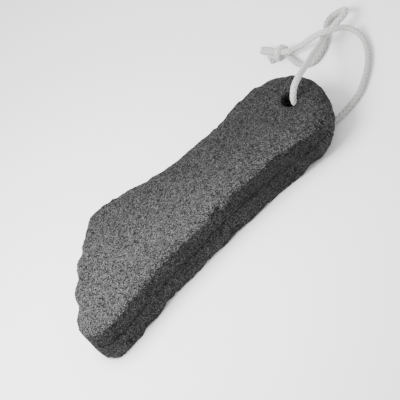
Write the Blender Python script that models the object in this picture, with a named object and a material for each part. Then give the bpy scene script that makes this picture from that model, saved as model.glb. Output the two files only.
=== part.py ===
"""A foot-shaped pumice stone on a loop of braided cotton cord.

Metres, +Z up. The stone lies on its flat sole with its toes towards -X and its heel towards +X,
and its middle, at floor level, is the origin. The cord goes through the hole in the heel and
comes back to its knot, and lies on the floor behind the heel.
"""

import math
import random

import bmesh
import bpy
from mathutils import Vector, noise

MM = 0.001

# Driving dimensions, in millimetres.
LENGTH = 140.0
THICKNESS = 20.0
HOLE_DIAMETER = 8.2
HOLE_X, HOLE_Y = 57.2, -6.1
CORD_DIAMETER = 2.8

# The sole's outline is one smooth line from the big toe, along the arch, round the heel and
# along the outer side to the little toe. Five toe arcs close it.
ARCH_SIDE = [
    (-70.4, -18.5), (-69.8, -23.0), (-66.0, -26.1), (-59.5, -26.9), (-48.0, -25.5),
    (-30.0, -22.9), (-8.0, -22.0), (14.0, -21.9), (32.0, -22.8), (44.0, -25.3), (53.0, -26.8),
]
HEEL = [
    (60.5, -25.2), (65.9, -21.0), (69.4, -14.4), (70.9, -7.0), (70.2, 1.0), (67.0, 7.4), (61.4, 12.5),
]
OUTER_SIDE = [
    (53.6, 15.3), (43.0, 15.5), (31.0, 14.6), (18.0, 14.7), (5.0, 16.7), (-7.0, 20.0),
    (-17.0, 24.2), (-25.5, 27.0), (-34.4, 27.8),
]
# Each toe ends in a notch, and its arc stands out from the line between its two notches.
TOES = [  # notch after the toe, how far the toe stands out
    ((-42.2, 21.4), 0.9),
    ((-47.9, 14.8), 1.6),
    ((-55.2, 6.0), 2.1),
    ((-63.8, -7.8), 2.7),
    (ARCH_SIDE[0], 2.4),
]
OUTLINE_STEP = 2.2
CURVE_STEPS = 20

# The rims are rounded, more at the heel, whose underside also rises off the floor.
TOP_RIM, TOP_RIM_AT_HEEL = 1.4, 6.0
SOLE_RIM, SOLE_RIM_AT_HEEL = 1.6, 6.5
HEEL_RIM_FROM, HEEL_RIM_TO = 42.0, 64.0
HEEL_RISE_FROM = 30.0
HEEL_RISE = 11.0
CROWN = 0.7
CROWN_MIDDLE_Y, CROWN_HALF_WIDTH = -3.0, 26.0
RIM_STEPS = 4

# The rough surface.
VOXEL = 2.0
SOLE_ALLOWANCE = 1.0
LUMPS = [(14.0, 0.30), (5.0, 0.22)]  # size of the lumps, how high they stand
PIT_COUNT = 150
PIT_RADIUS = (1.6, 2.8)
PIT_DEPTH = (0.35, 0.85)
SOLE_PIT_EXTRA = 0.3
CHIPS = [  # place on the surface, radius and depth of a larger chip along the edges
    ((-50.0, -24.5, 1.5), 4.0, 0.9),
    ((-38.0, -22.0, 0.8), 4.0, 0.9),
    ((-9.0, -21.0, 1.0), 5.0, 0.9),
    ((8.0, -20.5, 19.0), 4.5, 0.7),
    ((34.0, -22.5, 9.0), 7.0, 0.8),
    ((20.0, -21.5, 10.5), 6.0, 0.7),
    ((46.0, -24.5, 2.0), 4.5, 1.0),
    ((-66.0, -13.5, 19.0), 4.0, 0.8),
    ((-20.0, 22.5, 19.0), 4.5, 0.7),
    ((26.0, 13.0, 1.5), 5.0, 1.0),
]
SEED = 11

# The hole's mouths are worn wider, more at the sole, where the cord is pulled round the edge.
TOP_WEAR, TOP_WEAR_DEPTH = 0.4, 1.2
SOLE_WEAR, SOLE_WEAR_DEPTH = 4.5, 5.6
HOLE_SIDES = 24
HOLE_LUMP, HOLE_LUMP_SIZE = 0.4, 2.5
CUTTER_EXTRA = 2.0

# The cord: its middle line from the knot, over its own loop, round behind the heel, under the
# heel, up through the hole, over the heel's edge, out to the end of the loop and back.
CORD_ROUTE = [
    # out of the knot, and over both legs of the loop
    (76.6, 30.8, 4.3), (79.1, 29.8, 4.2), (81.6, 27.8, 4.9), (84.0, 24.9, 7.0), (86.2, 21.0, 10.0),
    (88.6, 18.4, 11.2), (91.4, 16.7, 11.1), (94.5, 15.9, 9.6),
    # down to the floor, and round the right-hand side of the loop
    (97.6, 15.7, 7.3), (99.9, 14.4, 4.7), (100.9, 11.3, 2.6), (100.1, 6.7, 1.6), (97.1, 0.5, 1.5),
    (92.4, -5.2, 1.5), (86.1, -10.4, 1.5), (79.0, -14.3, 1.5), (67.4, -15.8, 1.5),
    # under the heel and up through the hole
    (62.4, -13.8, 1.6), (59.5, -10.2, 3.0), (58.2, -8.3, 7.6), (57.8, -8.4, 12.0), (57.5, -8.5, 18.6),
    # over the top of the heel, and in a sagging line to the end of the loop
    (58.5, -8.7, 21.7), (61.3, -8.1, 24.6), (66.1, -5.3, 24.4), (71.5, 0.0, 20.8), (77.5, 7.1, 15.8),
    (82.9, 13.2, 11.2), (87.4, 17.8, 7.9), (91.6, 20.5, 6.4), (96.4, 21.0, 6.5),
    # round the end of the loop, which leans over on to the floor
    (100.2, 20.9, 6.8), (103.8, 22.4, 6.0), (105.5, 25.9, 4.2), (104.0, 29.5, 2.2), (100.4, 31.3, 1.5),
    (96.9, 30.4, 1.5),
    # back on the floor below the first leg, and into the knot
    (94.1, 27.7, 1.5), (91.7, 24.6, 1.5), (88.4, 21.7, 1.5), (84.4, 19.7, 1.5), (80.2, 18.8, 1.5),
    (76.9, 20.7, 1.5), (75.1, 24.4, 1.5), (75.0, 28.6, 1.5), (75.3, 32.3, 1.6),
]
CORD_STEP = 2.0 * CORD_DIAMETER

# The knot: one end of the cord runs on through it as a tail, and the other leaves it sideways.
KNOT_LINE = [  # place, radius
    ((75.3, 33.2, 3.1), 2.0), ((75.1, 33.9, 3.2), 2.8), ((74.6, 35.0, 3.2), 3.1), ((73.8, 36.7, 3.0), 2.7),
    ((73.0, 38.6, 2.6), 2.1), ((72.1, 40.8, 2.2), 1.7), ((71.4, 42.7, 1.8), 1.5), ((70.3, 45.4, 1.5), 1.4),
]
SIDE_TAIL_LINE = [
    ((73.0, 36.4, 2.4), 1.5), ((71.8, 37.2, 1.9), 1.6), ((70.4, 37.8, 1.6), 1.6), ((68.8, 38.2, 1.5), 1.4),
]

STONE_COLOUR = (0.085, 0.085, 0.088, 1.0)
COTTON_COLOUR = (0.80, 0.79, 0.77, 1.0)


def clear_scene():
    for obj in list(bpy.data.objects):
        bpy.data.objects.remove(obj, do_unlink=True)


def make_material(name, colour, roughness):
    material = bpy.data.materials.new(name)
    material.use_nodes = True
    shader = material.node_tree.nodes["Principled BSDF"]
    shader.inputs["Base Color"].default_value = colour
    shader.inputs["Roughness"].default_value = roughness
    shader.inputs["Metallic"].default_value = 0.0
    return material


def add_object(name, data, material):
    obj = bpy.data.objects.new(name, data)
    bpy.context.scene.collection.objects.link(obj)
    if material is not None:
        data.materials.append(material)
    return obj


def evaluated_mesh(obj):
    """A new mesh of the object with its modifiers applied."""
    graph = bpy.context.evaluated_depsgraph_get()
    graph.update()
    return bpy.data.meshes.new_from_object(obj.evaluated_get(graph))


def smooth_line(points, step, closed=False):
    """Points about one step apart on a smooth curve through the given points."""
    points = [Vector(p) for p in points]
    count = len(points)
    fine = []
    for i in range(count if closed else count - 1):
        if closed:
            a, b, c, d = (points[(i + k) % count] for k in (-1, 0, 1, 2))
        else:
            a, b, c, d = (points[min(max(i + k, 0), count - 1)] for k in (-1, 0, 1, 2))
        for k in range(CURVE_STEPS):
            t = k / CURVE_STEPS
            fine.append(
                b + 0.5 * t * ((c - a) + t * (2 * a - 5 * b + 4 * c - d) + t * t * (3 * b - a - 3 * c + d))
            )
    fine.append(points[0] if closed else points[-1])
    return even_steps(fine, step)


def even_steps(line, step):
    """The same line with its points at even distances, ends kept."""
    lengths = [0.0]
    for a, b in zip(line, line[1:]):
        lengths.append(lengths[-1] + (b - a).length)
    pieces = max(2, round(lengths[-1] / step))
    result = []
    k = 0
    for i in range(pieces):
        want = lengths[-1] * i / pieces
        while lengths[k + 1] < want:
            k += 1
        span = max(lengths[k + 1] - lengths[k], 1e-9)
        result.append(line[k].lerp(line[k + 1], (want - lengths[k]) / span))
    result.append(line[-1])
    return result


def toe_arc(start, end, stands_out):
    """Points on the arc from one notch to the next, without the last."""
    start, end = Vector(start), Vector(end)
    chord = end - start
    outward = Vector((chord.y, -chord.x)).normalized()
    pieces = max(3, round(chord.length / OUTLINE_STEP))
    return [
        start + chord * (i / pieces) + outward * (stands_out * math.sin(math.pi * i / pieces))
        for i in range(pieces)
    ]


def sole_outline():
    """The closed outline, anticlockwise from above, as 2-D points."""
    line = smooth_line(ARCH_SIDE + HEEL + OUTER_SIDE, OUTLINE_STEP)
    outline = line[:-1]
    notch = OUTER_SIDE[-1]
    for next_notch, stands_out in TOES:
        outline += toe_arc(notch, next_notch, stands_out)
        notch = next_notch
    return outline


def towards_heel(x, start, end):
    """0 before start, 1 after end, and a smooth change between them."""
    t = min(max((x - start) / (end - start), 0.0), 1.0)
    return t * t * (3 - 2 * t)


def rim_radius(x, usual, at_heel):
    return usual + (at_heel - usual) * towards_heel(x, HEEL_RIM_FROM, HEEL_RIM_TO)


def heel_rise(x):
    """How far the underside has risen off the floor: an ellipse that starts level."""
    t = min(max((x - HEEL_RISE_FROM) / (LENGTH / 2 - HEEL_RISE_FROM), 0.0), 1.0)
    return HEEL_RISE * (1 - math.sqrt(1 - t * t))


def underside(x):
    """The underside before it is ground flat: lower than the floor where it will be ground."""
    return heel_rise(x) - SOLE_ALLOWANCE * (1 - towards_heel(x, HEEL_RISE_FROM, HEEL_RIM_TO))


def outward_normals(outline):
    count = len(outline)
    normals = []
    for i in range(count):
        along = outline[(i + 1) % count] - outline[i - 1]
        normals.append(Vector((along.y, -along.x)).normalized())
    return normals


def rim_rings():
    """(share round the rim, is it the top rim) for each ring, from the sole to the top."""
    steps = [k / RIM_STEPS for k in range(RIM_STEPS + 1)]
    return [(t, False) for t in steps] + [(1 - t, True) for t in steps]


def stone_shell():
    """The clean body: rings of the outline, drawn in round both rims."""
    outline = sole_outline()
    normals = outward_normals(outline)
    mesh = bmesh.new()
    rings = []
    for share, is_top in rim_rings():
        ring = []
        for point, normal in zip(outline, normals):
            if is_top:
                radius = rim_radius(point.x, TOP_RIM, TOP_RIM_AT_HEEL)
            else:
                radius = rim_radius(point.x, SOLE_RIM, SOLE_RIM_AT_HEEL)
            angle = share * math.pi / 2
            place = point - normal * radius * (1 - math.sin(angle))
            depth = radius * (1 - math.cos(angle))
            low = underside(place.x)
            height = THICKNESS - depth if is_top else low + depth * (THICKNESS - low) / THICKNESS
            ring.append(mesh.verts.new((place.x, place.y, height)))
        rings.append(ring)
    for lower, upper in zip(rings, rings[1:]):
        for i in range(len(outline)):
            mesh.faces.new((lower[i - 1], lower[i], upper[i], upper[i - 1]))
    mesh.faces.new(rings[-1])
    bmesh.ops.triangulate(mesh, faces=[mesh.faces.new(list(reversed(rings[0])))])
    bmesh.ops.recalc_face_normals(mesh, faces=mesh.faces)
    return mesh


def remeshed(mesh):
    """The body with an even skin of small faces."""
    data = bpy.data.meshes.new("shell")
    mesh.to_mesh(data)
    mesh.free()
    obj = add_object("shell", data, None)
    skin = obj.modifiers.new("skin", "REMESH")
    skin.mode = "VOXEL"
    skin.voxel_size = VOXEL
    result = bmesh.new()
    even = evaluated_mesh(obj)
    result.from_mesh(even)
    bpy.data.objects.remove(obj, do_unlink=True)
    return result


def raise_underside(mesh):
    """Lifts the middle of the heel's underside, which the rings only set at its rim."""
    for vert in mesh.verts:
        if vert.co.z < THICKNESS / 2:
            vert.co.z = max(vert.co.z, underside(vert.co.x))


def raise_crown(mesh):
    """The top is very slightly crowned, highest along its middle."""
    for vert in mesh.verts:
        if vert.co.z > THICKNESS / 2:
            across = (vert.co.y - CROWN_MIDDLE_Y) / CROWN_HALF_WIDTH
            vert.co.z += CROWN * max(0.0, 1 - across * across) * (vert.co.z / THICKNESS - 0.5) * 2


def roughen(mesh):
    """Broad lumps over the whole body."""
    mesh.normal_update()
    moves = []
    for vert in mesh.verts:
        height = sum(high * noise.noise(vert.co / size) for size, high in LUMPS)
        moves.append(vert.normal * height * 2)
    for vert, move in zip(mesh.verts, moves):
        vert.co += move


def dent(mesh, centre, radius, depth, inward):
    """Pushes the surface in around a point, deepest at its middle."""
    for vert in mesh.verts:
        away = (vert.co - centre).length / radius
        if away < 1:
            vert.co += inward * depth * (1 - away * away) ** 2


def add_pits_and_chips(mesh):
    chance = random.Random(SEED)
    mesh.verts.ensure_lookup_table()
    mesh.normal_update()
    picked = chance.sample(range(len(mesh.verts)), PIT_COUNT)
    pits = [(mesh.verts[i].co.copy(), -mesh.verts[i].normal.copy()) for i in picked]
    for centre, inward in pits:
        on_sole = inward.z > 0.8
        ground_away = SOLE_ALLOWANCE + SOLE_PIT_EXTRA if on_sole else 0.0
        depth = chance.uniform(*PIT_DEPTH) + ground_away
        dent(mesh, centre, chance.uniform(*PIT_RADIUS), depth, inward)
    for place, radius, depth in CHIPS:
        centre = Vector(place)
        nearest = min(mesh.verts, key=lambda vert: (vert.co - centre).length)
        dent(mesh, nearest.co.copy(), radius, depth, -nearest.normal.copy())


def cut_sole_flat(mesh):
    """Grinds the sole flat at floor level."""
    everything = mesh.verts[:] + mesh.edges[:] + mesh.faces[:]
    bmesh.ops.bisect_plane(
        mesh, geom=everything, plane_co=(0, 0, 0), plane_no=(0, 0, -1), clear_outer=True
    )
    rim = [edge for edge in mesh.edges if edge.is_boundary]
    bmesh.ops.triangle_fill(mesh, edges=rim, use_beauty=True, use_dissolve=False)
    bmesh.ops.recalc_face_normals(mesh, faces=mesh.faces)


def settle(mesh):
    """Gives the body its exact length, middle and thickness."""
    xs = [vert.co.x for vert in mesh.verts]
    ys = [vert.co.y for vert in mesh.verts]
    zs = [vert.co.z for vert in mesh.verts]
    middle = Vector(((max(xs) + min(xs)) / 2, (max(ys) + min(ys)) / 2, 0))
    bmesh.ops.translate(mesh, verts=mesh.verts, vec=-middle)
    stretch = Vector((LENGTH / (max(xs) - min(xs)), 1.0, THICKNESS / max(zs)))
    bmesh.ops.scale(mesh, verts=mesh.verts, vec=stretch)


def hole_cutter():
    """A turned cutter for the hole, flared at both ends for the worn mouths."""
    radius = HOLE_DIAMETER / 2
    low, high = heel_rise(HOLE_X), THICKNESS
    profile = [  # radius, height
        (0.0, -CUTTER_EXTRA),
        (radius + SOLE_WEAR, -CUTTER_EXTRA),
        (radius + SOLE_WEAR, low),
        (radius + SOLE_WEAR / 4, low + SOLE_WEAR_DEPTH / 2),
        (radius, low + SOLE_WEAR_DEPTH),
        (radius, high - TOP_WEAR_DEPTH),
        (radius + TOP_WEAR / 4, high - TOP_WEAR_DEPTH / 2),
        (radius + TOP_WEAR, high),
        (radius + TOP_WEAR, high + CUTTER_EXTRA),
        (0.0, high + CUTTER_EXTRA),
    ]
    mesh = bmesh.new()
    verts = [mesh.verts.new((r, 0.0, z)) for r, z in profile]
    edges = [mesh.edges.new(pair) for pair in zip(verts, verts[1:])]
    bmesh.ops.spin(
        mesh, geom=verts + edges, cent=(0, 0, 0), axis=(0, 0, 1), angle=2 * math.pi,
        steps=HOLE_SIDES, use_merge=True,
    )
    bmesh.ops.remove_doubles(mesh, verts=mesh.verts, dist=1e-4)
    for vert in mesh.verts:
        away = Vector((vert.co.x, vert.co.y, 0))
        lump = HOLE_LUMP * abs(noise.noise(vert.co / HOLE_LUMP_SIZE))
        vert.co += away.normalized() * lump
    bmesh.ops.translate(mesh, verts=mesh.verts, vec=(HOLE_X, HOLE_Y, 0))
    bmesh.ops.recalc_face_normals(mesh, faces=mesh.faces)
    return mesh


def mesh_in_metres(name, mesh):
    bmesh.ops.scale(mesh, verts=mesh.verts, vec=(MM, MM, MM))
    data = bpy.data.meshes.new(name)
    mesh.to_mesh(data)
    mesh.free()
    return data


def make_stone(material):
    mesh = remeshed(stone_shell())
    raise_underside(mesh)
    raise_crown(mesh)
    roughen(mesh)
    add_pits_and_chips(mesh)
    cut_sole_flat(mesh)
    settle(mesh)
    stone = add_object("stone", mesh_in_metres("stone", mesh), material)
    cutter = add_object("hole_cutter", mesh_in_metres("hole_cutter", hole_cutter()), None)
    cutter.hide_render = True
    cutter.display_type = "WIRE"
    cut = stone.modifiers.new("hole", "BOOLEAN")
    cut.operation = "DIFFERENCE"
    cut.solver = "EXACT"
    cut.object = cutter
    return stone


def tube(name, line, radii, material):
    """A round tube along the line, in millimetres, with flat ends."""
    curve = bpy.data.curves.new(name, "CURVE")
    curve.dimensions = "3D"
    curve.bevel_depth = CORD_DIAMETER / 2 * MM
    curve.bevel_resolution = 2
    curve.use_fill_caps = True
    spline = curve.splines.new("POLY")
    spline.points.add(len(line) - 1)
    for point, place, radius in zip(spline.points, line, radii):
        point.co = (*(Vector(place) * MM), 1.0)
        point.radius = radius / (CORD_DIAMETER / 2)
    return add_object(name, curve, material)


def make_cord(material):
    line = smooth_line(CORD_ROUTE, CORD_STEP)
    return tube("cord", line, [CORD_DIAMETER / 2] * len(line), material)


def make_knot(material):
    """The knot's body and first tail in one, with the second tail joined on."""
    body_tube = tube("knot_body", *zip(*KNOT_LINE), None)
    knot = add_object("knot", evaluated_mesh(body_tube), material)
    bpy.data.objects.remove(body_tube, do_unlink=True)
    tail_tube = tube("side_tail_line", *zip(*SIDE_TAIL_LINE), None)
    tail = add_object("side_tail", evaluated_mesh(tail_tube), None)
    bpy.data.objects.remove(tail_tube, do_unlink=True)
    tail.hide_render = True
    tail.display_type = "WIRE"
    join = knot.modifiers.new("side tail", "BOOLEAN")
    join.operation = "UNION"
    join.solver = "EXACT"
    join.object = tail
    return knot


def main():
    clear_scene()
    pumice = make_material("grey pumice", STONE_COLOUR, 0.95)
    cotton = make_material("white cotton", COTTON_COLOUR, 0.9)
    make_stone(pumice)
    make_cord(cotton)
    make_knot(cotton)


main()
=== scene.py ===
"""The looks of a foot-shaped pumice stone and of its braided cotton hanging loop.

The stone lies on its flat sole with its toes towards -X, its heel towards +X and its upper face
towards +Z. The cord goes up through the hole in the heel and back to its knot on the floor.
"""

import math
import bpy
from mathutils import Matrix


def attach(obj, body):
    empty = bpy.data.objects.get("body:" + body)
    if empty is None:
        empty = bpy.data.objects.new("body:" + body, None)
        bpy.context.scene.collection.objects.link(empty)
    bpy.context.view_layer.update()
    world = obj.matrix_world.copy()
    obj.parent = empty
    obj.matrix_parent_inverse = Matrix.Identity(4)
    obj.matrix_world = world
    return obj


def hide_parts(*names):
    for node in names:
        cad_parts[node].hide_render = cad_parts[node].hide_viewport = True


bl_info = {
    "name": "Pumice stone on a cord",
    "version": (1, 0, 0),
    "blender": (4, 5, 0),
    "location": "3D View > Sidebar > Pumice",
    "description": "Makes a foot-shaped pumice stone, its braided cotton loop and the knot",
    "category": "Add Mesh",
}

import bmesh
import bpy
from bpy.props import FloatProperty, FloatVectorProperty, IntProperty, PointerProperty
from mathutils import Matrix, Vector, noise

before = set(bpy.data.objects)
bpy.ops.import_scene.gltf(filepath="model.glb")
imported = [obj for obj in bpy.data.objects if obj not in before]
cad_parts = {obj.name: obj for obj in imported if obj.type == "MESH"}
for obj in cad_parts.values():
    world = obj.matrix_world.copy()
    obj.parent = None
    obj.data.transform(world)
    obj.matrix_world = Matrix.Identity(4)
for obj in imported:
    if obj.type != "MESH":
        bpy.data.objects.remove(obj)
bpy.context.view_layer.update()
BODY = "root"
MM = 0.001
JOIN_DISTANCE = 0.001 * MM  # points nearer than this become one

# The cord's middle line, in metres, from where it leaves the knot to where it comes back.
CORD_ROUTE = [
    # out of the knot, and over both legs of the loop
    (0.0766, 0.0308, 0.0043), (0.0791, 0.0298, 0.0042), (0.0816, 0.0278, 0.0049),
    (0.0840, 0.0249, 0.0070), (0.0862, 0.0210, 0.0100), (0.0886, 0.0184, 0.0112),
    (0.0914, 0.0167, 0.0111), (0.0945, 0.0159, 0.0096),
    # down to the floor, and round the right-hand side of the loop
    (0.0976, 0.0157, 0.0073), (0.0999, 0.0144, 0.0047), (0.1009, 0.0113, 0.0026),
    (0.1001, 0.0067, 0.0016), (0.0971, 0.0005, 0.0015), (0.0924, -0.0052, 0.0015),
    (0.0861, -0.0104, 0.0015), (0.0790, -0.0143, 0.0015), (0.0674, -0.0158, 0.0015),
    # under the heel and up through the hole
    (0.0624, -0.0138, 0.0016), (0.0595, -0.0102, 0.0030), (0.0582, -0.0083, 0.0076),
    (0.0578, -0.0084, 0.0120), (0.0575, -0.0085, 0.0186),
    # over the top of the heel, and in a sagging line to the end of the loop
    (0.0585, -0.0087, 0.0217), (0.0613, -0.0081, 0.0246), (0.0661, -0.0053, 0.0244),
    (0.0715, 0.0000, 0.0208), (0.0775, 0.0071, 0.0158), (0.0829, 0.0132, 0.0112),
    (0.0874, 0.0178, 0.0079), (0.0916, 0.0205, 0.0064), (0.0964, 0.0210, 0.0065),
    # round the end of the loop, which leans over on to the floor
    (0.1002, 0.0209, 0.0068), (0.1038, 0.0224, 0.0060), (0.1055, 0.0259, 0.0042),
    (0.1040, 0.0295, 0.0022), (0.1004, 0.0313, 0.0015), (0.0969, 0.0304, 0.0015),
    # back on the floor below the first leg, and into the knot
    (0.0941, 0.0277, 0.0015), (0.0917, 0.0246, 0.0015), (0.0884, 0.0217, 0.0015),
    (0.0844, 0.0197, 0.0015), (0.0802, 0.0188, 0.0015), (0.0769, 0.0207, 0.0015),
    (0.0751, 0.0244, 0.0015), (0.0750, 0.0286, 0.0015), (0.0753, 0.0323, 0.0016),
]
# In the knot the cord's first end runs straight on as a tail. The second end comes in under
# it, climbs its far side, goes over it and down the near side, and ends as a shorter tail.
FIRST_TAIL = [
    (0.0702, 0.0455, 0.0020), (0.0714, 0.0427, 0.0022), (0.0725, 0.0392, 0.0028),
    (0.0736, 0.0359, 0.0036), (0.0749, 0.0329, 0.0042),
]
SECOND_TAIL = [
    (0.0763, 0.0341, 0.0025), (0.0760, 0.0351, 0.0047), (0.0741, 0.0352, 0.0056),
    (0.0721, 0.0347, 0.0042), (0.0717, 0.0356, 0.0021), (0.0708, 0.0373, 0.0019),
    (0.0688, 0.0382, 0.0020),
]
FLARE, FLARE_LENGTH = 0.42, 8.0 * MM  # how far the braid has opened at the tails' cut ends


# Settings


class StoneSettings(bpy.types.PropertyGroup):
    """Sizes and colours of the pumice."""

    skin_size: FloatProperty(
        name="Skin size", description="Edge length of the faces that carry the pores",
        default=0.5 * MM, min=0.3 * MM, unit="LENGTH", precision=5,
    )
    pore_depth: FloatProperty(
        name="Pore depth", description="How deep the widest pores go",
        default=0.55 * MM, min=0.0, unit="LENGTH", precision=5,
    )
    chip_depth: FloatProperty(
        name="Chip depth", description="How deep the chips along the edges go",
        default=0.45 * MM, min=0.0, unit="LENGTH", precision=5,
    )
    grain_size: FloatProperty(
        name="Grain size", description="Width of one grain of the stone",
        default=0.32 * MM, min=0.1 * MM, unit="LENGTH", precision=5,
    )
    dark: FloatVectorProperty(
        name="Dark grains", description="Colour of the pores and of the darkest grains",
        default=(0.0015, 0.0015, 0.0016), subtype="COLOR", min=0.0, max=1.0,
    )
    light: FloatVectorProperty(
        name="Light grains", description="Colour of the lightest grains",
        default=(0.21, 0.21, 0.21), subtype="COLOR", min=0.0, max=1.0,
    )


class CordSettings(bpy.types.PropertyGroup):
    """Sizes and colour of the braided cotton cord."""

    diameter: FloatProperty(
        name="Diameter", description="The cord's outer diameter",
        default=2.8 * MM, min=0.5 * MM, unit="LENGTH", precision=5,
    )
    pitch: FloatProperty(
        name="Braid pitch", description="Length of cord in which a strand goes round once",
        default=8.4 * MM, min=2.0 * MM, unit="LENGTH", precision=5,
    )
    strands: IntProperty(
        name="Strands each way", description="How many strands wind to the left, and to the right",
        default=4, min=2, max=12,
    )
    cotton: FloatVectorProperty(
        name="Cotton", description="Colour of the clean cotton",
        default=(0.55, 0.545, 0.537), subtype="COLOR", min=0.0, max=1.0,
    )


class StageSettings(bpy.types.PropertyGroup):
    """The floor, the lights and the camera."""

    floor: FloatVectorProperty(
        name="Floor", description="Colour of the plain floor",
        default=(0.92, 0.92, 0.92), subtype="COLOR", min=0.0, max=1.0,
    )
    key_power: FloatProperty(
        name="Key light", description="Power of the large light beyond the toes",
        default=1.45, min=0.0, unit="POWER",
    )
    sky: FloatProperty(
        name="Sky", description="Strength of the even light from all sides",
        default=1.5, min=0.0,
    )
    azimuth: FloatProperty(
        name="Azimuth", description="Which way round the stone the camera stands",
        default=math.radians(-5.5), subtype="ANGLE",
    )
    elevation: FloatProperty(
        name="Elevation", description="How high above the floor the camera looks from",
        default=math.radians(44.0), subtype="ANGLE",
    )
    roll: FloatProperty(
        name="Roll", description="How far the camera is turned about its own axis",
        default=math.radians(40.0), subtype="ANGLE",
    )
    distance: FloatProperty(
        name="Distance", description="From the camera to the point that it looks at",
        default=0.8, min=0.1, unit="LENGTH",
    )
    lens: FloatProperty(
        name="Lens", description="Focal length of the camera",
        default=175.14, min=10.0, unit="CAMERA",
    )


class PumiceSettings(bpy.types.PropertyGroup):
    """All settings of the pumice stone scene."""

    stone: PointerProperty(type=StoneSettings)
    cord: PointerProperty(type=CordSettings)
    stage: PointerProperty(type=StageSettings)


# Helpers

MIX_SHARE, MIX_A, MIX_B, MIX_RESULT = 0, 6, 7, 2  # the sockets of a mix of two colours


def add_object(name, data):
    """A new object at the origin, so that its place is in its mesh."""
    obj = bpy.data.objects.new(name, data)
    bpy.context.scene.collection.objects.link(obj)
    return obj


def mesh_object(name, mesh, material, smooth=True):
    """Turns a bmesh into an object of its own with one material."""
    data = bpy.data.meshes.new(name)
    mesh.to_mesh(data)
    mesh.free()
    data.materials.append(material)
    if smooth:
        data.shade_smooth()
    return add_object(name, data)


def declare(piece, node):
    """The piece takes the place of its solid and moves with it."""
    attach(piece, BODY)
    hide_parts(node)


def add_node(tree, kind, inputs=None, **settings):
    """A new node whose inputs are set to values or linked to other nodes' outputs."""
    made = tree.nodes.new(kind)
    for name, value in settings.items():
        setattr(made, name, value)
    for name, value in (inputs or {}).items():
        socket = made.inputs[name]
        if isinstance(value, bpy.types.NodeSocket):
            tree.links.new(value, socket)
        else:
            socket.default_value = value
    return made


def add_math(tree, operation, a, b=0.0, clamp=False):
    """The outcome of one sum on values or on other nodes' outputs."""
    made = add_node(tree, "ShaderNodeMath", {0: a, 1: b}, operation=operation, use_clamp=clamp)
    return made.outputs[0]


def mapped(tree, value, old_low, old_high, low=0.0, high=1.0, smooth=False):
    """The value moved from one range to another, and kept inside it."""
    kind = "SMOOTHSTEP" if smooth else "LINEAR"
    sockets = {
        "Value": value, "From Min": old_low, "From Max": old_high, "To Min": low, "To Max": high,
    }
    return add_node(tree, "ShaderNodeMapRange", sockets, interpolation_type=kind).outputs[0]


def mixed(tree, share, a, b):
    """Colour a, turning to colour b as the share goes from 0 to 1."""
    sockets = {MIX_SHARE: share, MIX_A: a, MIX_B: b}
    return add_node(tree, "ShaderNodeMix", sockets, data_type="RGBA").outputs[MIX_RESULT]


def new_material(name):
    """A material with its Principled shader, and the tree that they are in."""
    material = bpy.data.materials.new(name)
    material.use_nodes = True
    tree = material.node_tree
    return material, tree, tree.nodes["Principled BSDF"]


def new_group(name, inputs, outputs):
    """An empty node group with float and vector inputs, and its two end nodes."""
    group = bpy.data.node_groups.new(name, "ShaderNodeTree")
    for label, kind, default in inputs:
        socket = group.interface.new_socket(label, in_out="INPUT", socket_type=kind)
        if default is not None:
            socket.default_value = default
    for label in outputs:
        group.interface.new_socket(label, in_out="OUTPUT", socket_type="NodeSocketFloat")
    return group, group.nodes.new("NodeGroupInput"), group.nodes.new("NodeGroupOutput")


def grouped(tree, group, inputs):
    """The one output of a node group that is placed with these inputs."""
    return add_node(tree, "ShaderNodeGroup", inputs, node_tree=group).outputs[0]


# Stage

FLOOR_RADIUS, FLOOR_SEGMENTS = 4.0, 96
KEY_PLACE, KEY_TARGET, KEY_SIZE = (-0.09, 0.0, 0.20), (-0.05, 0.0, 0.0), 0.16
AIM = Vector((0.0026, -0.0026, 0.0098))  # the point that the camera looks at


def add_floor(settings):
    """A wide plain floor."""
    mesh = bmesh.new()
    bmesh.ops.create_circle(mesh, cap_ends=True, radius=FLOOR_RADIUS, segments=FLOOR_SEGMENTS)
    material, _, shader = new_material("pale floor")
    shader.inputs["Base Color"].default_value = (*settings.floor, 1.0)
    shader.inputs["Roughness"].default_value = 0.7
    shader.inputs["Specular IOR Level"].default_value = 0.2
    floor = mesh_object("floor", mesh, material, smooth=False)


def add_area_light(name, place, target, size, power):
    """A round soft light that shines at the target."""
    light = bpy.data.lights.new(name, "AREA")
    light.shape = "DISK"
    light.size = size
    light.energy = power
    obj = add_object(name, light)
    obj.location = place
    obj.rotation_euler = (Vector(place) - Vector(target)).to_track_quat("Z", "Y").to_euler()


def add_sky(strength):
    """Even white light from all sides."""
    world = bpy.data.worlds.new("soft studio")
    world.use_nodes = True
    background = world.node_tree.nodes["Background"]
    background.inputs["Color"].default_value = (1.0, 1.0, 1.0, 1.0)
    background.inputs["Strength"].default_value = strength
    bpy.context.scene.world = world


def add_camera(settings):
    """Looks at AIM from the side and above, turned about its own axis."""
    across = Matrix.Rotation(settings.azimuth, 3, "Z")
    tilt = Matrix.Rotation(math.pi / 2 - settings.elevation, 3, "X")
    turn = across @ tilt @ Matrix.Rotation(-settings.roll, 3, "Z")
    data = bpy.data.cameras.new("camera")
    data.lens = settings.lens
    data.sensor_width = 36.0
    data.clip_start, data.clip_end = 0.01, 20.0
    camera = add_object("camera", data)
    away = turn @ Vector((0, 0, settings.distance))
    camera.matrix_world = Matrix.Translation(AIM + away) @ turn.to_4x4()
    bpy.context.scene.camera = camera


class PUMICE_OT_add_stage(bpy.types.Operator):
    """Add the floor, the lights and the camera"""

    bl_idname = "pumice.add_stage"
    bl_label = "Stage"

    def execute(self, context):
        settings = context.scene.pumice.stage
        add_floor(settings)
        add_sky(settings.sky)
        add_area_light("key light", KEY_PLACE, KEY_TARGET, KEY_SIZE, settings.key_power)
        add_camera(settings)
        return {"FINISHED"}


# Stone

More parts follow.
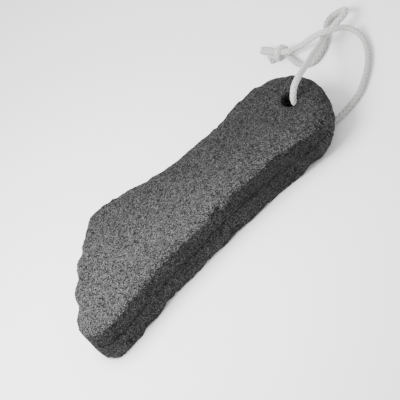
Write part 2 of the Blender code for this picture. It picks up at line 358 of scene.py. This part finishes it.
SMOOTHING_ROUNDS = 2
PORES = [  # size of the cells, share of them with a pore, depth as a share of the deepest
    (2.3 * MM, 0.35, 1.0),
    (1.25 * MM, 0.75, 0.62),
]
CHANCE_SPREAD = 91.7  # makes the chances of neighbouring cells differ
PORE_LEAST, PORE_WIDER = 0.24, 0.24  # radius of the smallest pore in cells, and how much it varies
PORE_SHALLOW, PORE_DEEPER = 0.55, 0.45  # depth of the shallowest pore, and how much it varies
LUMPS = [(3.4 * MM, 0.10 * MM), (1.3 * MM, 0.05 * MM)]  # size, height
CHIPS = [(1.8 * MM, 1.0), (4.5 * MM, 0.5)]  # size, share of the chip depth
CHIP_MORE = 0.1  # raised, more of the edge is chipped
EDGE_START = 0.15  # how far from level or upright a place has to be to count as an edge
SOLE_CHIPPING = 2.3  # how much deeper the chips are on the sole's edge
FULLNESS = 0.3 * MM  # how far the skin stands out, to make up for the pores
LIT_GROUND_GAIN, LIT_GROUND_START = 4.0, 1.6  # how sharply the level faces begin as a face turns level: the ground faces, whose paler grey is partly wear and partly painted light
SEAM_HEIGHT, SEAM_SWAY, SEAM_SWAY_SIZE = 10.0 * MM, 0.9 * MM, 8.0 * MM
SEAM_WIDTH, SEAM_DEPTH = 0.9 * MM, 0.35 * MM  # half of the faint groove's width, and its depth
SEAM_FAR = 3.0  # a seam mark that is well away from the groove
SEAM_GAPS = 11.0 * MM  # how far apart the groove's fainter stretches are
SEAM_USUAL, SEAM_UNEVEN, SEAM_LEAST = 0.75, 1.3, 0.1  # its strength, how uneven, and the least
SEAM_LEVEL = 0.6  # a face more level than this has no groove
SEAM_ENDS = (-18.0 * MM, -8.0 * MM)  # it is on the arch side only, and fades out between these


def merged_copy(node):
    """The solid's mesh with its loose triangles joined."""
    mesh = bmesh.new()
    mesh.from_mesh(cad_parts[node].data)
    bmesh.ops.remove_doubles(mesh, verts=mesh.verts, dist=JOIN_DISTANCE)
    return mesh


def even_skin(mesh, size):
    """The same body with a skin of small even faces."""
    data = bpy.data.meshes.new("skin")
    mesh.to_mesh(data)
    mesh.free()
    obj = add_object("skin", data)
    skin = obj.modifiers.new("skin", "REMESH")
    skin.mode = "VOXEL"
    skin.voxel_size = size
    graph = bpy.context.evaluated_depsgraph_get()
    even = bpy.data.meshes.new_from_object(obj.evaluated_get(graph))
    bpy.data.objects.remove(obj, do_unlink=True)
    result = bmesh.new()
    result.from_mesh(even)
    return result


def pore_at(place, size, share):
    """How far down a pore this place is, from 0 to 1: some cells of a cell pattern hold a pore."""
    distances, centres = noise.voronoi(place / size)
    chance = noise.cell_vector(centres[0] * CHANCE_SPREAD)
    if abs(chance.x) > share:
        return 0.0
    radius = PORE_LEAST + PORE_WIDER * abs(chance.y)
    within = 1.0 - (distances[0] / radius) ** 2
    depth = PORE_SHALLOW + PORE_DEEPER * abs(chance.z)
    return depth * math.sqrt(within) if within > 0.0 else 0.0


def edge_share(normal):
    """1 on the edge between an upright and a level face, 0 on the faces."""
    level = abs(normal.z)
    upright = math.sqrt(max(0.0, 1.0 - level * level))
    return max(0.0, 2.0 * min(level, upright) / math.sqrt(2) - EDGE_START)


def off_seam(place, normal):
    """How many half widths a place is above or below the faint, uneven groove along the arch
    side's upright face."""
    height = SEAM_HEIGHT + SEAM_SWAY * noise.noise(place / SEAM_SWAY_SIZE)
    near = min(1.0, max(0.0, (SEAM_ENDS[1] - place.y) / (SEAM_ENDS[1] - SEAM_ENDS[0])))
    uneven = SEAM_USUAL + SEAM_UNEVEN * noise.noise(place / SEAM_GAPS)
    strength = near * min(1.0, max(SEAM_LEAST, uneven))
    if abs(normal.z) > SEAM_LEVEL or strength <= 0.0:
        return SEAM_FAR
    return max(-SEAM_FAR, min(SEAM_FAR, (place.z - height) / (SEAM_WIDTH * strength)))


def carve(mesh, settings):
    """Pores all over, low lumps between them and chips along the edges, and three marks per point
    for the colours: how deep in a pore it is, how much it lies on a level face, and how far it
    is from the groove. The colours use them for painted shade in the pores and the groove, and
    for the level faces' paler grey, which is partly ground and partly painted light."""
    pore_mark = mesh.verts.layers.float.new("pore")
    ground_and_lit_mark = mesh.verts.layers.float.new("ground")
    seam_mark = mesh.verts.layers.float.new("seam")
    mesh.normal_update()
    moved = []
    for vert in mesh.verts:
        place = vert.co.copy()
        pore = max(share * pore_at(place, size, count) for size, count, share in PORES)
        lumps = sum(high * noise.noise(place / size) for size, high in LUMPS)
        chip = sum(
            max(0.0, noise.noise(place / size) + CHIP_MORE) * share for size, share in CHIPS
        )
        chip *= edge_share(vert.normal) * (SOLE_CHIPPING if vert.normal.z < 0 else 1.0)
        off = off_seam(place, vert.normal)
        inwards = settings.pore_depth * pore + settings.chip_depth * chip - lumps - FULLNESS
        inwards += SEAM_DEPTH * max(0.0, 1.0 - off * off)
        vert[pore_mark] = pore
        vert[seam_mark] = off
        # How level the face is: the level faces are paler, partly from wear and partly as painted light.
        vert[ground_and_lit_mark] = min(1.0, max(0.0, abs(vert.normal.z) * LIT_GROUND_GAIN - LIT_GROUND_START))
        moved.append(place - vert.normal * inwards)
    for vert, place in zip(mesh.verts, moved):
        vert.co = place
        vert.co.z = max(vert.co.z, 0.0)


# The stone's colours. Sizes of patches and pores are in grains, and shades are factors on its grey.
MOTTLE_FINER = 1.6  # how much finer the mottling is than the grains
PATCH_SIZE, PATCH_CONTRAST = 16, 0.14
PIT_SIZE, SMALL_SIZE, TINY_SIZE = 5, 2.6, 1.4
PORE_SHARE, TINY_SHARE = 0.6, 0.5  # share of the cells that hold a pore
PORE_PAINTED_SHADE, MARK_PAINTED_SHADE = 0.8, 0.75  # painted shade in the hollows: in the painted pores, and in the carved ones and the groove
ROUGH_CONTRAST, GROUND_CONTRAST = 7.0, 3.3  # contrast of the grains on the two kinds of face
GROUND_PITS = 0.2  # how much of the pits is left on the ground faces
CALM_SPAN, CALM = (-0.02, 0.06), 0.8  # towards the heel the grains' contrast falls to this share
SIDE_HEIGHTS, SIDE_PAINTED_SHADES = (0.003, 0.009), (0.47, 0.34)  # the rough side's grey from its foot upwards: partly its own darker grey, partly painted shade, darker than the level faces and darker towards its top
HEEL_SPAN, HEEL_PAINTED_LIGHT = (0.050, 0.062), 3.0  # painted light: the heel's upright face is painted lighter, as if it caught the light
RIM_MARK, RIM_WIDTH, RIM_PAINTED_HIGHLIGHT = 0.65, 0.35, 1.4  # painted highlight along the rim, placed by how level the face is
FALLOFF_SPAN, FAR_PAINTED_SHADE = (-0.042, 0.033), 0.50  # painted shade of the light's falloff: the grey gets darker between these, along x + 2 y
LIGHT_SHARE = 0.29  # of light grain in the usual grey
GRAIN_RELIEF, TINY_RELIEF, BUMP_HEIGHT = 0.35, 0.6, 0.2 * MM


def grain_group():
    """Angular grains with a shade each, over finer mottling, as a factor round one."""
    group, start, end = new_group(
        "Grain",
        [
            ("Vector", "NodeSocketVector", None),
            ("Size", "NodeSocketFloat", 0.001),
            ("Contrast", "NodeSocketFloat", 0.6),
        ],
        ["Factor"],
    )
    scale = add_math(group, "DIVIDE", 1.0, start.outputs["Size"])
    place = start.outputs["Vector"]
    grains = add_node(group, "ShaderNodeTexVoronoi", {"Vector": place, "Scale": scale})
    colours = add_node(group, "ShaderNodeSeparateColor", {"Color": grains.outputs["Color"]})
    finer = add_math(group, "MULTIPLY", scale, MOTTLE_FINER)
    mottle = add_node(
        group, "ShaderNodeTexNoise",
        {"Vector": place, "Scale": finer, "Detail": 2.0, "Roughness": 0.7},
    )
    mottling = mapped(group, mottle.outputs["Fac"], 0.3, 0.7, 0.5, 1.5)
    uneven = add_math(group, "MULTIPLY", colours.outputs["Red"], mottling)
    centred = add_math(group, "SUBTRACT", uneven, 0.5)
    swing = add_math(group, "MULTIPLY", centred, start.outputs["Contrast"])
    factor = add_math(group, "MAXIMUM", add_math(group, "ADD", swing, 1.0), 0.0)
    group.links.new(factor, end.inputs["Factor"])
    return group


def pore_group():
    """Round pores of uneven size in some cells of a cell pattern: 1 inside them, 0 between them."""
    group, start, end = new_group(
        "Pores",
        [
            ("Vector", "NodeSocketVector", None),
            ("Size", "NodeSocketFloat", 0.001),
            ("Share", "NodeSocketFloat", 0.6),
        ],
        ["Pore"],
    )
    scale = add_math(group, "DIVIDE", 1.0, start.outputs["Size"])
    place = start.outputs["Vector"]
    cells = add_node(group, "ShaderNodeTexVoronoi", {"Vector": place, "Scale": scale})
    chances = add_node(group, "ShaderNodeSeparateColor", {"Color": cells.outputs["Color"]})
    radius = mapped(group, chances.outputs["Red"], 0.0, 1.0, 0.22, 0.5)
    within = add_math(group, "DIVIDE", cells.outputs["Distance"], radius)
    hollow = mapped(group, within, 0.55, 1.0, 1.0, 0.0, smooth=True)
    chosen = add_math(group, "LESS_THAN", chances.outputs["Green"], start.outputs["Share"])
    group.links.new(add_math(group, "MULTIPLY", hollow, chosen), end.inputs["Pore"])
    return group


def pumice_material(settings):
    """Matt grey stone: light and dark grains, paler where it has been ground, and painted light and shade:
    dark pores and groove, darker upright sides, a highlight along the rim, a lighter heel side and
    darkening towards the heel and the far side.
    """
    material, tree, shader = new_material("grey pumice")
    place = add_node(tree, "ShaderNodeTexCoord").outputs["Object"]
    along, across, height = add_node(tree, "ShaderNodeSeparateXYZ", {"Vector": place}).outputs
    pore_mark = add_node(tree, "ShaderNodeAttribute", attribute_name="pore").outputs["Fac"]
    ground_and_lit_mark = add_node(tree, "ShaderNodeAttribute", attribute_name="ground").outputs["Fac"]
    seam_mark = add_node(tree, "ShaderNodeAttribute", attribute_name="seam").outputs["Fac"]
    seam = mapped(tree, add_math(tree, "ABSOLUTE", seam_mark), 0.15, 0.8, 1.0, 0.0)

    def times(value, factor):
        return add_math(tree, "MULTIPLY", value, factor)

    grains, pores = grain_group(), pore_group()
    size = settings.grain_size
    contrast = mapped(tree, ground_and_lit_mark, 0.0, 1.0, ROUGH_CONTRAST, GROUND_CONTRAST)
    contrast = times(contrast, mapped(tree, along, *CALM_SPAN, 1.0, CALM))
    grain = grouped(tree, grains, {"Vector": place, "Size": size, "Contrast": contrast})
    patches = grouped(
        tree, grains, {"Vector": place, "Size": size * PATCH_SIZE, "Contrast": PATCH_CONTRAST}
    )
    small, pits, tiny = (
        grouped(tree, pores, {"Vector": place, "Size": size * cells, "Share": share})
        for cells, share in (
            (SMALL_SIZE, PORE_SHARE), (PIT_SIZE, PORE_SHARE), (TINY_SIZE, TINY_SHARE),
        )
    )
    pits = times(pits, mapped(tree, ground_and_lit_mark, 0.0, 1.0, 1.0, GROUND_PITS))

    # The upright sides: partly their own darker grey, partly painted shade, darker than the level faces
    # and darker upwards.
    side_tone_and_shade = mapped(tree, height, *SIDE_HEIGHTS, *SIDE_PAINTED_SHADES)
    # Painted light on the heel's upright face.
    side_tone_and_shade = times(side_tone_and_shade, mapped(tree, along, *HEEL_SPAN, 1.0, HEEL_PAINTED_LIGHT))
    off_rim = add_math(tree, "ABSOLUTE", add_math(tree, "SUBTRACT", ground_and_lit_mark, RIM_MARK))
    falloff_along = add_math(tree, "ADD", along, times(across, 2.0))
    shade = times(grain, patches)
    shade = times(shade, mapped(tree, ground_and_lit_mark, 0.0, 1.0, side_tone_and_shade, 1.0))
    # A painted highlight along the rim, between the level and the upright faces.
    shade = times(shade, mapped(tree, off_rim, 0.0, RIM_WIDTH, RIM_PAINTED_HIGHLIGHT, 1.0))
    # Painted shade: darker towards the heel and the far side, as the light falls off.
    shade = times(shade, mapped(tree, falloff_along, *FALLOFF_SPAN, 1.0, FAR_PAINTED_SHADE))
    # Painted shade: the pores and the groove are painted darker, as shade in hollows.
    for hollow, painted_shade in (
        (pits, PORE_PAINTED_SHADE), (small, PORE_PAINTED_SHADE), (tiny, PORE_PAINTED_SHADE),
        (pore_mark, MARK_PAINTED_SHADE), (seam, MARK_PAINTED_SHADE),
    ):
        shade = times(shade, mapped(tree, hollow, 0.0, 1.0, 1.0, 1.0 - painted_shade))
    share = add_math(tree, "MULTIPLY", shade, LIGHT_SHARE, clamp=True)
    colour = mixed(tree, share, (*settings.dark, 1.0), (*settings.light, 1.0))
    tree.links.new(colour, shader.inputs["Base Color"])

    hollows = add_math(tree, "ADD", small, times(tiny, TINY_RELIEF))
    relief = add_math(tree, "SUBTRACT", times(grain, GRAIN_RELIEF), hollows)
    bump = add_node(
        tree, "ShaderNodeBump", {"Height": relief, "Strength": 1.0, "Distance": BUMP_HEIGHT}
    )
    tree.links.new(bump.outputs["Normal"], shader.inputs["Normal"])
    shader.inputs["Roughness"].default_value = 0.95
    shader.inputs["Specular IOR Level"].default_value = 0.25
    return material


class PUMICE_OT_add_stone(bpy.types.Operator):
    """Add the porous stone over its plain solid"""

    bl_idname = "pumice.add_stone"
    bl_label = "Stone"

    def execute(self, context):
        settings = context.scene.pumice.stone
        mesh = even_skin(merged_copy("stone"), settings.skin_size)
        for _ in range(SMOOTHING_ROUNDS):
            bmesh.ops.smooth_vert(
                mesh, verts=mesh.verts, factor=0.5, use_axis_x=True, use_axis_y=True, use_axis_z=True
            )
        carve(mesh, settings)
        stone = mesh_object("pumice_stone", mesh, pumice_material(settings))
        declare(stone, "stone")
        return {"FINISHED"}


# Cord and knot

ROPE_STEP = 0.22 * MM
CURVE_STEPS = 20
STRAND_SIDES = 6
CORE_SIDES = 12
STRAND_THICK, STRAND_MIDDLE = 0.36, 0.70  # a strand's thickness and mean distance out, in cord radii
STRAND_OVERLAP = 1.04  # how much wider the strands are than the room that each has
CORE_INSET = 0.4  # how far the core stays inside the strands, as a share of their swing
FIBRE_SCALE = (700.0, 9000.0, 1.0)
DULL, LOW_PAINTED_SHADE = 0.9, 0.6  # the cotton between its fibres, and the painted shade where it lies low near the floor, as shares of the cotton's own colour
SHADE_FADE_HEIGHTS = (0.5 * MM, 5.5 * MM)  # the painted shade fades out between these heights


def smooth_line(points, step):
    """Points one step apart on a smooth curve through the given ones."""
    points = [Vector(p) for p in points]
    last = len(points) - 1
    fine = []
    for i in range(last):
        a, b, c, d = (points[min(max(i + k, 0), last)] for k in (-1, 0, 1, 2))
        for k in range(CURVE_STEPS):
            t = k / CURVE_STEPS
            fine.append(
                b + 0.5 * t * ((c - a) + t * (2 * a - 5 * b + 4 * c - d) + t * t * (3 * b - a - 3 * c + d))
            )
    fine.append(points[-1])
    return even_steps(fine, step)


def even_steps(line, step):
    """The same line with its points at even distances, ends kept."""
    lengths = [0.0]
    for a, b in zip(line, line[1:]):
        lengths.append(lengths[-1] + (b - a).length)
    pieces = max(2, round(lengths[-1] / step))
    result = []
    k = 0
    for i in range(pieces):
        want = lengths[-1] * i / pieces
        while lengths[k + 1] < want:
            k += 1
        span = max(lengths[k + 1] - lengths[k], 1e-9)
        result.append(line[k].lerp(line[k + 1], (want - lengths[k]) / span))
    result.append(line[-1])
    return result


def frames_along(line):
    """(place, direction, side, up) at each point, carried along without twist."""
    frames = []
    up = Vector((0, 0, 1))
    for i, place in enumerate(line):
        ahead = (line[min(i + 1, len(line) - 1)] - line[max(i - 1, 0)]).normalized()
        up = (up - ahead * up.dot(ahead)).normalized()
        frames.append((place, ahead, ahead.cross(up), up))
    return frames


def whole_line():
    """The cord from one tail's end to the other's, and where the knot ends and begins again."""
    line = smooth_line(FIRST_TAIL + CORD_ROUTE + SECOND_TAIL, ROPE_STEP)
    start, end = Vector(CORD_ROUTE[0]), Vector(CORD_ROUTE[-1])
    first = min(range(len(line)), key=lambda i: (line[i] - start).length)
    last = min(range(len(line)), key=lambda i: (line[i] - end).length)
    return frames_along(line), first, last


def wrap_grid(mesh, rows, around, length, girth, place_of):
    """Adds a closed tube: a flat grid whose points move to place_of(row, turn)."""
    uvs = mesh.loops.layers.uv.verify()
    made = bmesh.ops.create_grid(mesh, x_segments=rows, y_segments=around, size=1.0)
    verts = made["verts"]
    faces = {face for vert in verts for face in vert.link_faces}
    for face in faces:
        for loop in face.loops:
            along, turn = (loop.vert.co.x + 1) / 2, (loop.vert.co.y + 1) / 2
            loop[uvs].uv = (along * length, turn * girth)
    for vert in verts:
        vert.co = place_of(round((vert.co.x + 1) / 2 * rows), (vert.co.y + 1) / 2)
    bmesh.ops.remove_doubles(mesh, verts=verts, dist=JOIN_DISTANCE)


def add_rope(mesh, frames, first, last, settings):
    """Adds the braid between two points of the line: a core, and strands wound both ways that
    go over and under each other."""
    radius = settings.diameter / 2
    thick = radius * STRAND_THICK
    middle = radius * STRAND_MIDDLE
    swing = radius - thick / 2 - middle
    turn_rate = 2 * math.pi / settings.pitch
    rows = last - first
    length = rows * ROPE_STEP

    def wider(row):
        to_end = min(first + row, len(frames) - 1 - first - row) * ROPE_STEP
        return 1 + FLARE * max(0.0, 1 - to_end / FLARE_LENGTH)

    def core(row, turn):
        place, _, side, up = frames[first + row]
        angle = turn * 2 * math.pi
        out = side * math.cos(angle) + up * math.sin(angle)
        return place + out * (middle - swing * CORE_INSET) * wider(row)

    wrap_grid(mesh, rows, CORE_SIDES, length, 2 * math.pi * middle, core)
    slope = math.atan(turn_rate * middle)
    width = 2 * math.pi * middle / settings.strands * math.cos(slope) * STRAND_OVERLAP
    for way in (1, -1):
        for number in range(settings.strands):
            start = 2 * math.pi * number / settings.strands

            def strand(row, turn, way=way, start=start):
                place, ahead, side, up = frames[first + row]
                along = (first + row) * ROPE_STEP
                angle = start + way * turn_rate * along
                out = side * math.cos(angle) + up * math.sin(angle)
                sideways = up * math.cos(angle) - side * math.sin(angle)
                run = (ahead + sideways * way * turn_rate * middle).normalized()
                lift = middle + way * swing * math.cos(settings.strands * turn_rate * along)
                flat = turn * 2 * math.pi
                off = out * (lift + math.sin(flat) * thick / 2)
                off += run.cross(out) * (math.cos(flat) * width / 2)
                return place + off * wider(row)

            wrap_grid(mesh, rows, STRAND_SIDES, length / math.cos(slope), 2 * width, strand)


def close_ends(mesh):
    """Fills every open end and turns all faces outwards."""
    rims = [edge for edge in mesh.edges if edge.is_boundary]
    bmesh.ops.holes_fill(mesh, edges=rims)
    bmesh.ops.recalc_face_normals(mesh, faces=mesh.faces)


def cotton_material(settings):
    """White cotton: fine fibres that run along each strand, and painted shade that makes it greyer where
    it lies low.
    """
    material, tree, shader = new_material("white cotton")
    places = add_node(tree, "ShaderNodeTexCoord").outputs
    stretched = add_node(
        tree, "ShaderNodeMapping", {"Vector": places["UV"], "Scale": FIBRE_SCALE}
    )
    fibres = add_node(
        tree, "ShaderNodeTexNoise",
        {"Vector": stretched.outputs[0], "Scale": 1.0, "Detail": 2.0, "Distortion": 0.3},
    )
    fibre = mapped(tree, fibres.outputs["Fac"], 0.3, 0.7)
    dull = tuple(c * DULL for c in settings.cotton)
    colour = mixed(tree, fibre, (*dull, 1.0), (*settings.cotton, 1.0))
    height = add_node(tree, "ShaderNodeSeparateXYZ", {"Vector": places["Object"]}).outputs["Z"]
    # Painted shade: greyer where the cord lies low near the floor.
    unshaded = mapped(tree, height, *SHADE_FADE_HEIGHTS, 0.0, 1.0)
    low_shade = tuple(c * LOW_PAINTED_SHADE for c in settings.cotton)
    colour = mixed(tree, unshaded, (*low_shade, 1.0), colour)
    tree.links.new(colour, shader.inputs["Base Color"])
    bump = add_node(
        tree, "ShaderNodeBump", {"Height": fibre, "Strength": 0.6, "Distance": 0.05 * MM}
    )
    tree.links.new(bump.outputs["Normal"], shader.inputs["Normal"])
    shader.inputs["Roughness"].default_value = 0.9
    shader.inputs["Specular IOR Level"].default_value = 0.2
    shader.inputs["Sheen Weight"].default_value = 0.25
    return material


class PUMICE_OT_add_cord(bpy.types.Operator):
    """Add the braided loop of cord and the knot that closes it"""

    bl_idname = "pumice.add_cord"
    bl_label = "Cord and knot"

    def execute(self, context):
        settings = context.scene.pumice.cord
        frames, first, last = whole_line()
        cotton = cotton_material(settings)

        loop = bmesh.new()
        add_rope(loop, frames, first, last, settings)
        close_ends(loop)
        cord = mesh_object("braided_cord", loop, cotton)
        declare(cord, "cord")

        ends = bmesh.new()
        add_rope(ends, frames, 0, first, settings)
        add_rope(ends, frames, last, len(frames) - 1, settings)
        close_ends(ends)
        knot = mesh_object("tied_knot", ends, cotton)
        declare(knot, "knot")

        return {"FINISHED"}


class PUMICE_PT_panel(bpy.types.Panel):
    """Buttons and settings of the pumice stone"""

    bl_idname = "PUMICE_PT_panel"
    bl_label = "Pumice stone"
    bl_space_type = "VIEW_3D"
    bl_region_type = "UI"
    bl_category = "Pumice"

    def draw(self, context):
        settings = context.scene.pumice
        for operator, group in (
            ("pumice.add_stage", settings.stage),
            ("pumice.add_stone", settings.stone),
            ("pumice.add_cord", settings.cord),
        ):
            box = self.layout.box()
            box.operator(operator)
            for name in group.bl_rna.properties.keys():
                if name not in {"rna_type", "name"}:
                    box.prop(group, name)


CLASSES = (
    StoneSettings,
    CordSettings,
    StageSettings,
    PumiceSettings,
    PUMICE_OT_add_stage,
    PUMICE_OT_add_stone,
    PUMICE_OT_add_cord,
    PUMICE_PT_panel,
)


def register():
    for cls in CLASSES:
        bpy.utils.register_class(cls)
    bpy.types.Scene.pumice = PointerProperty(type=PumiceSettings)


def unregister():
    del bpy.types.Scene.pumice
    for cls in reversed(CLASSES):
        bpy.utils.unregister_class(cls)


def main():
    register()
    bpy.ops.pumice.add_stage()
    bpy.ops.pumice.add_stone()
    bpy.ops.pumice.add_cord()


if __name__ == "__main__":
    main()
